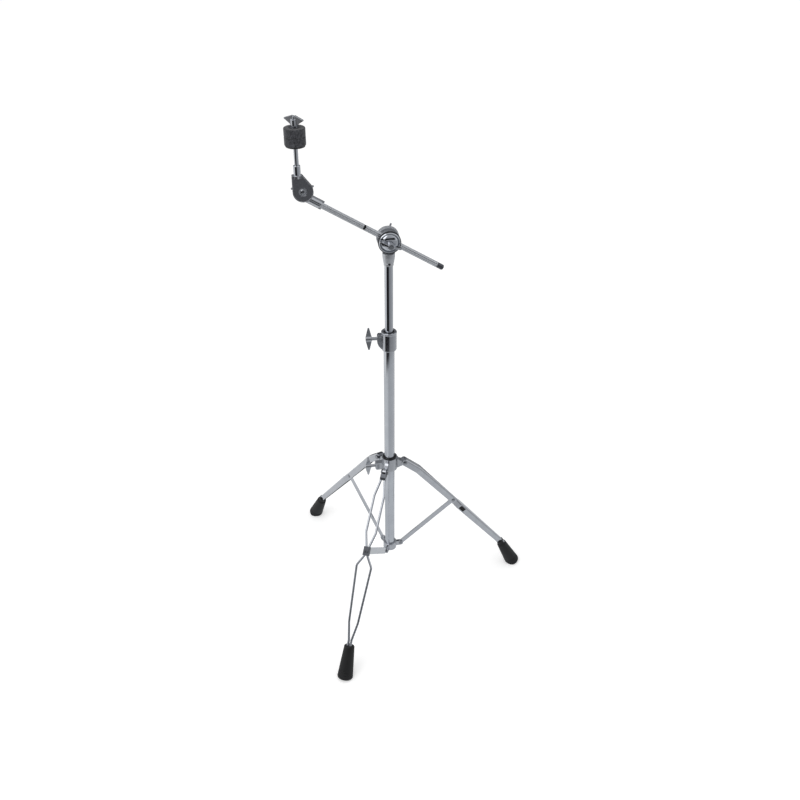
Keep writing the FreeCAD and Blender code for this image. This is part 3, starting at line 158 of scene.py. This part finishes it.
mirrored_pale = add_node(floor_tree, "ShaderNodeMix", {"data_type": "RGBA", 7: linear("#dcdfe2")},
                         {0: beside_foot.outputs[0], 6: mirrored_grey.outputs[2]})
mirrored_floor = add_node(floor_tree, "ShaderNodeEmission", {"Strength": 1.0},
                          {"Color": mirrored_pale.outputs[2]})
floor_ray = add_node(floor_tree, "ShaderNodeLightPath")
lit_or_mirrored_floor = add_node(floor_tree, "ShaderNodeMixShader", links={
    0: floor_ray.outputs["Is Glossy Ray"], 1: lit_floor.outputs[0],
    2: mirrored_floor.outputs[0]})
shown_floor = add_node(floor_tree, "ShaderNodeMixShader", links={
    0: floor_ray.outputs["Is Camera Ray"], 1: lit_or_mirrored_floor.outputs[0],
    2: seen_floor.outputs[0]})
add_node(floor_tree, "ShaderNodeOutputMaterial", links={"Surface": shown_floor.outputs[0]})
floor.data.materials.append(floor_paint)

world = bpy.data.worlds.new("white_sky")
bpy.context.scene.world = world
world.use_nodes = True
sky = world.node_tree
sky.nodes.clear()
sky_fill = 0.74
sky_direction = add_node(sky, "ShaderNodeTexCoord")
sky_axes = add_node(sky, "ShaderNodeSeparateXYZ", links={0: sky_direction.outputs["Generated"]})
front_to_back = add_node(sky, "ShaderNodeMapRange", {"From Min": -1.0, "From Max": 1.0},
                         {"Value": sky_axes.outputs["Y"]})
sky_bands = grey_ramp(sky, front_to_back.outputs[0], 0, 1, (
    (0.0, "#a4a5a8"), (0.22, "#c4c5c8"), (0.45, "#f2f3f5"), (0.75, "#e4e6e8"), (0.9, "#85878b"),
    (1.0, "#4c4d50")))
ray = add_node(sky, "ShaderNodeLightPath")
white_sky = add_node(sky, "ShaderNodeBackground", {"Color": linear("#ffffff"), "Strength": 1.0})
fill_sky = add_node(sky, "ShaderNodeBackground", {"Color": linear("#ffffff"),
                                                  "Strength": sky_fill})
low_rise = add_node(sky, "ShaderNodeMapRange", {
    "interpolation_type": "SMOOTHSTEP", "From Min": 0.04, "From Max": 0.12},
    {"Value": sky_axes.outputs["Z"]})
low_fall = add_node(sky, "ShaderNodeMapRange", {
    "interpolation_type": "SMOOTHSTEP", "From Min": 0.34, "From Max": 0.46,
    "To Min": 1.0, "To Max": 0.0}, {"Value": sky_axes.outputs["Z"]})
in_front = add_node(sky, "ShaderNodeMapRange", {
    "interpolation_type": "SMOOTHSTEP", "From Min": -0.35, "From Max": -0.6},
    {"Value": sky_axes.outputs["Y"]})
low_band = add_node(sky, "ShaderNodeMath", {"operation": "MULTIPLY"},
                    {0: low_rise.outputs[0], 1: low_fall.outputs[0]})
dark_band = add_node(sky, "ShaderNodeMath", {"operation": "MULTIPLY"},
                     {0: in_front.outputs[0], 1: low_band.outputs[0]})
banded_sky = add_node(sky, "ShaderNodeMix", {"data_type": "RGBA", 7: linear("#252629")},
                      {0: dark_band.outputs[0], 6: sky_bands})
mirror_sky = add_node(sky, "ShaderNodeBackground", {"Strength": 1.0},
                      {"Color": banded_sky.outputs[2]})
lit_or_mirrored = add_node(sky, "ShaderNodeMixShader", links={
    0: ray.outputs["Is Glossy Ray"], 1: fill_sky.outputs[0], 2: mirror_sky.outputs[0]})
seen_or_not = add_node(sky, "ShaderNodeMixShader", links={
    0: ray.outputs["Is Camera Ray"], 1: lit_or_mirrored.outputs[0], 2: white_sky.outputs[0]})
add_node(sky, "ShaderNodeOutputWorld", links={"Surface": seen_or_not.outputs[0]})

key_lamp = bpy.data.lights.new("key_softbox", "AREA")
key_lamp.shape = "SQUARE"
key_lamp.size = 2.4
key_lamp.energy = 26.0
key = bpy.data.objects.new("key_softbox", key_lamp)
bpy.context.scene.collection.objects.link(key)
key_place = Vector((-1.9, -1.6, 2.9))
key.location = key_place
key.rotation_euler = (Vector((0, 0, 0.6)) - key_place).to_track_quat("-Z", "Y").to_euler()


# Column tubes. Drawn steel tube, polished and chrome plated. The upper tube slides in the
# lower one, which carries the collar, the leg hub and the spider.

def clouded_finish(name, colours, gloss, cloud, grain, relief, stretch=(1.0, 1.0, 1.0)):
    """A finish whose colour and gloss drift in soft clouds, with a fine grain in relief."""
    material = bpy.data.materials.new(name)
    material.use_nodes = True
    tree = material.node_tree
    shader = tree.nodes["Principled BSDF"]
    place = add_node(tree, "ShaderNodeTexCoord").outputs["Object"]
    clouds = add_node(tree, "ShaderNodeTexNoise", cloud, {"Vector": place})
    colour = add_node(tree, "ShaderNodeMix", {"data_type": "RGBA", 6: linear(colours[0]),
                                              7: linear(colours[1])},
                      {0: clouds.outputs["Fac"]})
    tree.links.new(colour.outputs[2], shader.inputs["Base Color"])
    dullness = add_node(tree, "ShaderNodeMapRange", {"To Min": gloss[0], "To Max": gloss[1]},
                        {"Value": clouds.outputs["Fac"]})
    tree.links.new(dullness.outputs[0], shader.inputs["Roughness"])
    stretched = add_node(tree, "ShaderNodeMapping", {"Scale": stretch}, {"Vector": place})
    grains = add_node(tree, "ShaderNodeTexNoise", grain, {"Vector": stretched.outputs[0]})
    bump = add_node(tree, "ShaderNodeBump", relief, {"Height": grains.outputs["Fac"]})
    tree.links.new(bump.outputs[0], shader.inputs["Normal"])
    return material


def metal_finish(name, colour, worn_colour, roughness, haze_mm, grain_mm, grain_depth_mm,
                 stretch=(1.0, 1.0, 1.0)):
    """A plated metal with soft colour haze, uneven gloss and a fine surface grain."""
    material = clouded_finish(
        name, (colour, worn_colour), (roughness * 0.7, roughness * 1.35),
        {"Scale": 1000 / haze_mm, "Detail": 4.0, "Roughness": 0.6},
        {"Scale": 1000 / grain_mm, "Detail": 3.0},
        {"Strength": 0.35, "Distance": grain_depth_mm / 1000}, stretch)
    shader = material.node_tree.nodes["Principled BSDF"]
    shader.inputs["Metallic"].default_value = 1.0
    return material


nodes = frame["nodes"]


def finish_nodes(material, *names):
    """Gives CAD pieces that stay as they are their material."""
    for name in names:
        nodes[name].data.materials.clear()
        nodes[name].data.materials.append(material)


# Chrome plate on drawn tube: a clean cool mirror with faint lines along the tube.
drawn_chrome = metal_finish("chrome_plate_on_drawn_tube", "#c9ccd1", "#b5b8be", 0.07, 26.0, 1.4,
                            0.012, (1.0, 1.0, 0.04))
finish_nodes(drawn_chrome, "lower_tube", "upper_tube")


# Plug and bushes. Injection moulded black nylon and rubber: nearly black, with a fine matt
# grain on the rubber and a slightly glossier skin on the nylon.

def moulded_finish(name, colour, light_colour, roughness, cloud_mm, grain_mm, grain_depth_mm):
    """A moulded black material with faint clouding and a fine matt grain."""
    material = clouded_finish(
        name, (colour, light_colour), (roughness - 0.08, roughness + 0.08),
        {"Scale": 1000 / cloud_mm, "Detail": 5.0}, {"Scale": 1000 / grain_mm, "Detail": 2.0},
        {"Strength": 0.5, "Distance": grain_depth_mm / 1000})
    shader = material.node_tree.nodes["Principled BSDF"]
    shader.inputs["Specular IOR Level"].default_value = 0.4
    return material


# Moulded black rubber: a flat, slightly dusty black with a coarse grain.
# Moulded black nylon: the same black with a low soft shine.
rubber = moulded_finish("moulded_black_rubber", "#0c0c0d", "#18181a", 0.6, 14.0, 0.7, 0.06)
nylon = moulded_finish("moulded_black_nylon", "#0e0e10", "#18181a", 0.38, 9.0, 0.5, 0.02)
finish_nodes(rubber, "tube_end_plug")
finish_nodes(nylon, "height_bush", "hub_bush")


# Column clamps and leg hub. Zinc die castings, tumbled so that every edge is soft, then
# polished and chrome plated. A nylon bush and a trapped square nut sit inside each.

body_of_node = {node: body for body, members in frame["record"]["behaviour"]["bodies"].items()
                for node in members}


def softened_casting(name, voxel_mm, passes, material):
    """Stands in for a CAD casting with its edges rounded as tumbling rounds them."""
    piece = bpy.data.objects.new(name + "_cast", nodes[name].data.copy())
    bpy.context.scene.collection.objects.link(piece)
    bpy.ops.object.select_all(action="DESELECT")
    piece.select_set(True)
    bpy.context.view_layer.objects.active = piece
    bpy.ops.object.mode_set(mode="EDIT")
    bpy.ops.mesh.select_all(action="SELECT")
    bpy.ops.mesh.remove_doubles(threshold=0.00001)
    bpy.ops.mesh.normals_make_consistent(inside=False)
    bpy.ops.object.mode_set(mode="OBJECT")
    skin = piece.modifiers.new("skin", "REMESH")
    skin.mode = "VOXEL"
    skin.voxel_size = voxel_mm / 1000
    bpy.ops.object.modifier_apply(modifier=skin.name)
    tumble = piece.modifiers.new("tumble", "SMOOTH")
    tumble.factor = 0.5
    tumble.iterations = passes
    bpy.ops.object.modifier_apply(modifier=tumble.name)
    bpy.ops.object.shade_smooth()
    piece.data.materials.clear()
    piece.data.materials.append(material)
    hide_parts(name)
    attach(piece, body_of_node[name])
    piece.select_set(False)
    return piece


# Chrome plate on die-cast zinc: a slightly wavy, softer mirror than on the tubes.
# Bright zinc on turned steel: a greyer metal whose shine is spread wide.
cast_chrome = metal_finish("chrome_plate_on_die_cast_zinc", "#c2c4c8", "#a8aaaf", 0.12, 9.0, 1.1,
                           0.03)
bright_zinc = metal_finish("bright_zinc_on_turned_steel", "#a6a8ac", "#8c8e93", 0.22, 5.0, 0.6,
                           0.03)
softened_casting("height_collar", 0.4, 6, cast_chrome)
finish_nodes(cast_chrome, "leg_hub")
finish_nodes(bright_zinc, "hub_clamp_nut", "height_clamp_nut")


# Wing bolts and wing nuts. Die-cast zinc wings with a round boss, tumbled and chromed, on
# steel screws. The wings are about four millimetres thick with fully rounded edges.

for name in ("hub_wing_bolt", "height_wing_bolt", "tilter_wing_nut", "rear_wing_nut",
             "cymbal_wing_nut", "top_wing_nut"):
    softened_casting(name, 0.4, 8, cast_chrome)


# Channel legs and braces. Strip steel pressed into an open channel and flat bars, polished
# and chromed, with zinc-plated bolts and rivets through their ends.

# Chrome plate on pressed steel: a mirror with long soft drifts in it.
pressed_chrome = metal_finish("chrome_plate_on_pressed_steel", "#c6c8cc", "#b0b2b7", 0.11, 18.0,
                              1.6, 0.02)
finish_nodes(pressed_chrome, "right_leg", "left_leg", "right_brace", "left_brace", "front_brace")
finish_nodes(bright_zinc, "right_leg_bolt", "left_leg_bolt", "front_leg_bolt", "right_rivet",
             "left_rivet", "front_rivet", "spider_rivets")
finish_nodes(rubber, "leg_pad")


# Front leg. Two bent and chromed steel wires that meet in a forged eye at the hub and in a
# pressed clamp at the brace, and run together into their boot.

# Dull zinc on forged steel: dark grey with hardly any mirror left.
dull_zinc = metal_finish("dull_zinc_on_forged_steel", "#6c6e73", "#55575c", 0.38, 4.0, 0.8,
                         0.05)
finish_nodes(drawn_chrome, "front_leg_rod_left", "front_leg_rod_right")
finish_nodes(dull_zinc, "front_leg_eye")
softened_casting("front_leg_clamp", 0.35, 3, dull_zinc)


# Spider. Die-cast ring at the foot of the column with a pair of ears for each brace.

softened_casting("spider", 0.45, 4, cast_chrome)


# Boots. Moulded black rubber, matt and faintly dusty, pushed onto the leg's end, with a
# narrow neck on the channel legs and three moulded grooves near the foot.

for name in ("right_foot", "left_foot", "front_foot"):
    softened_casting(name, 0.6, 3, rubber)


# Boom tilter. Die-cast neck, ratchet discs and holder, nickel plated. In front of the holder
# sit a pressed and chromed cup with a domed nose and its thin rubber band.

# Satin nickel on die-cast zinc: pale and even, with broad highlights and no mirror.
satin_cast = metal_finish("satin_nickel_on_die_cast_zinc", "#d2d4d7", "#bfc1c5", 0.5, 7.0, 1.0,
                          0.03)
softened_casting("tilter_base", 0.5, 4, satin_cast)
softened_casting("boom_holder", 0.5, 4, satin_cast)
finish_nodes(nylon, "boom_grip_sleeve", "tilter_set_screw")
finish_nodes(rubber, "tilter_gasket")
finish_nodes(drawn_chrome, "tilter_dish")
finish_nodes(bright_zinc, "tilter_bolt", "rear_bolt")


# Boom. Chromed steel tube with fine rolled flutes along it, for the holder's grip, and one
# turned groove. A plain dark plug is pressed into its tail.

joints = {joint["name"]: joint for joint in frame["record"]["behaviour"]["joints"]}
along_boom = Vector(joints["boom_roll"]["axis"]).normalized()
boom_middle = Vector(joints["boom_roll"]["pos_m"])
flute_count = 28
flute_depth = 0.0003
groove_depth = 0.0006
groove_slope = 0.0004
groove_waist = 0.9
vertex_slack = 0.0002

# Chrome plate on fluted tube: many thin lines of light that read as a pale satin.
# Painted shade in the turned groove: its floor is coloured near black, a dark band round the tube
# that stands for the shade falling in the groove.
bright_chrome = metal_finish("chrome_plate_on_fluted_tube", "#dfe1e4", "#cbcdd1", 0.12, 12.0, 1.0,
                             0.012)
groove_painted_shade = metal_finish("painted_shade_in_groove", "#3a3b3e", "#28292c", 0.32, 5.0, 0.6, 0.02)
boom_points = [vertex.co - boom_middle for vertex in nodes["boom_rod"].data.vertices]
boom_ends = [along_boom.dot(point) for point in boom_points]
boom_radii = [(point - along_boom * end).length for point, end in zip(boom_points, boom_ends)]
boom_radius = max(boom_radii)
groove_ends = sorted(end for end, radius in zip(boom_ends, boom_radii)
                     if abs(boom_radius - groove_depth - radius) < vertex_slack)
bpy.ops.mesh.primitive_circle_add(vertices=4 * flute_count, radius=boom_radius - 0.00002,
                                  fill_type="NOTHING", location=(0, 0, min(boom_ends)))
boom = bpy.context.object
boom.name = "fluted_boom_tube"
bpy.ops.object.transform_apply(location=True, rotation=True, scale=True)
bpy.ops.object.mode_set(mode="EDIT")
mesh = bmesh.from_edit_mesh(boom.data)
mesh.verts.ensure_lookup_table()
for index, vertex in enumerate(mesh.verts):
    if index % 4 in (2, 3):
        vertex.co.xy *= 1 - flute_depth / boom_radius
bmesh.update_edit_mesh(boom.data)
bpy.ops.mesh.select_all(action="SELECT")
here = min(boom_ends)
for there, scale in ((groove_ends[0] - groove_slope, 1.0), (groove_ends[0], groove_waist),
                     (groove_ends[-1], 1.0), (groove_ends[-1] + groove_slope, 1 / groove_waist),
                     (max(boom_ends), 1.0)):
    bpy.ops.mesh.extrude_region_move(TRANSFORM_OT_translate={"value": (0, 0, there - here)})
    bpy.ops.transform.resize(value=(scale, scale, 1), center_override=(0, 0, there))
    here = there
bpy.ops.mesh.select_all(action="DESELECT")
mesh = bmesh.from_edit_mesh(boom.data)
for edge in mesh.edges:
    edge.select = edge.is_boundary
bmesh.update_edit_mesh(boom.data)
bpy.ops.mesh.edge_face_add()
bpy.ops.mesh.select_all(action="SELECT")
bpy.ops.mesh.normals_make_consistent(inside=False)
bpy.ops.object.mode_set(mode="OBJECT")
boom.data.transform(Matrix.Translation(boom_middle)
                    @ along_boom.to_track_quat("Z", "Y").to_matrix().to_4x4())
bpy.ops.object.shade_smooth_by_angle(angle=math.radians(25))
boom.data.materials.append(bright_chrome)
boom.data.materials.append(groove_painted_shade)
# The groove's faces take the second material, the near-black painted shade.
for face in boom.data.polygons:
    place = along_boom.dot(face.center - boom_middle)
    if groove_ends[0] - vertex_slack < place < groove_ends[-1] + vertex_slack:
        face.material_index = 1
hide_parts("boom_rod")
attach(boom, body_of_node["boom_rod"])
boom.select_set(False)
finish_nodes(dull_zinc, "boom_end_cap")


# Cymbal tilter. Die-cast arm on the boom's end, and a head with a dark satin face inside a
# polished rim, joined by a domed bolt.

# Dark satin plate on casting: the head's face, mottled grey, with no clear reflection.
# Polished rim of casting: a thin bright line round that face.
dark_cast = metal_finish("dark_satin_plate_on_casting", "#a9aaaf", "#606166", 0.42, 2.5, 0.9,
                         0.1)
softened_casting("cymbal_tilter_arm", 0.45, 5, cast_chrome)
polished_rim = metal_finish("polished_rim_of_casting", "#e4e6e9", "#cfd1d5", 0.28, 6.0, 0.8,
                            0.02)
head = softened_casting("cymbal_tilter_head", 0.35, 2, polished_rim)
head.data.materials.append(dark_cast)
head_front = Vector(joints["cymbal_tilt"]["axis"]).normalized()
if head_front.y > 0:
    head_front = -head_front
bolt_middle = Vector(joints["cymbal_tilt"]["pos_m"])
rim_drop = 0.0006
bolt_seat_radius = 0.0086
head_reach = max(head_front.dot(vertex.co) for vertex in head.data.vertices)
for face in head.data.polygons:
    depth = head_reach - head_front.dot(face.center)
    from_bolt = face.center - bolt_middle
    aside = (from_bolt - head_front * head_front.dot(from_bolt)).length
    if face.normal.dot(head_front) > 0.6 and depth > rim_drop and aside > bolt_seat_radius:
        face.material_index = 1
finish_nodes(bright_zinc, "cymbal_pivot_bolt")


# Post and seat. Chromed post with a turned sleeve and a threaded stud, a black cup washer,
# a nylon sleeve and a plain steel washer on top of the felts.

finish_nodes(drawn_chrome, "cymbal_post", "post_sleeve")
finish_nodes(nylon, "seat_washer", "felt_sleeve")
finish_nodes(bright_zinc, "top_washer")


# Felts. Two discs cut from pressed dark wool felt, with rims that wear round. They slide on
# the nylon sleeve and hold the cymbal between them.

# Pressed charcoal wool felt: very dull, mottled with lighter fibres, with a soft fuzz.
clump_mm = 5.0
fibre_mm = 1.6
wool_felt = bpy.data.materials.new("pressed_charcoal_wool_felt")
wool_felt.use_nodes = True
felt_tree = wool_felt.node_tree
felt_shader = felt_tree.nodes["Principled BSDF"]
felt_shader.inputs["Roughness"].default_value = 0.97
felt_shader.inputs["Specular IOR Level"].default_value = 0.15
felt_shader.inputs["Sheen Weight"].default_value = 0.25
felt_shader.inputs["Sheen Roughness"].default_value = 0.5
felt_place = add_node(felt_tree, "ShaderNodeTexCoord").outputs["Object"]
felt_clump = add_node(felt_tree, "ShaderNodeTexNoise", {"Scale": 1000 / clump_mm, "Detail": 6.0,
                                                        "Roughness": 0.7},
                      {"Vector": felt_place})
felt_fibre = add_node(felt_tree, "ShaderNodeTexNoise", {"Scale": 1000 / fibre_mm, "Detail": 5.0,
                                                        "Distortion": 1.5},
                      {"Vector": felt_place})
felt_shade = add_node(felt_tree, "ShaderNodeMath", {"operation": "MULTIPLY"},
                      {0: felt_clump.outputs["Fac"], 1: felt_fibre.outputs["Fac"]})
felt_spread = add_node(felt_tree, "ShaderNodeMapRange", {"From Min": 0.16, "From Max": 0.38},
                       {"Value": felt_shade.outputs[0]})
felt_colours = add_node(felt_tree, "ShaderNodeMix",
                        {"data_type": "RGBA", 6: linear("#1d1e21"), 7: linear("#56575c")},
                        {0: felt_spread.outputs[0]})
felt_tree.links.new(felt_colours.outputs[2], felt_shader.inputs["Base Color"])
felt_bump = add_node(felt_tree, "ShaderNodeBump", {"Strength": 0.8, "Distance": 0.0005},
                     {"Height": felt_shade.outputs[0]})
felt_tree.links.new(felt_bump.outputs[0], felt_shader.inputs["Normal"])

felt_inset = 0.0003
felt_rim_rounding = 0.0016
for name in ("felt_lower", "felt_upper"):
    low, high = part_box(name)
    radius = (high.x - low.x) / 2
    centre = (low + high) / 2
    bpy.ops.mesh.primitive_cylinder_add(vertices=96, radius=radius - felt_inset,
                                        depth=high.z - low.z, location=centre)
    felt = bpy.context.object
    felt.name = name + "_wool"
    bpy.ops.object.transform_apply(location=True, rotation=True, scale=True)
    bpy.ops.object.mode_set(mode="EDIT")
    mesh = bmesh.from_edit_mesh(felt.data)
    for face in mesh.faces:
        face.select = abs(face.normal.z) > 0.9
    bmesh.update_edit_mesh(felt.data)
    bpy.ops.mesh.inset(thickness=radius * 0.35)
    bpy.ops.mesh.inset(thickness=radius * 0.3)
    bpy.ops.mesh.select_all(action="DESELECT")
    bpy.ops.object.mode_set(mode="OBJECT")
    rounding = felt.modifiers.new("rounding", "BEVEL")
    rounding.width = felt_rim_rounding
    rounding.segments = 6
    rounding.limit_method = "ANGLE"
    bpy.ops.object.modifier_apply(modifier=rounding.name)
    bpy.ops.object.shade_smooth()
    felt.data.materials.append(wool_felt)
    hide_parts(name)
    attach(felt, body_of_node[name])
    felt.select_set(False)
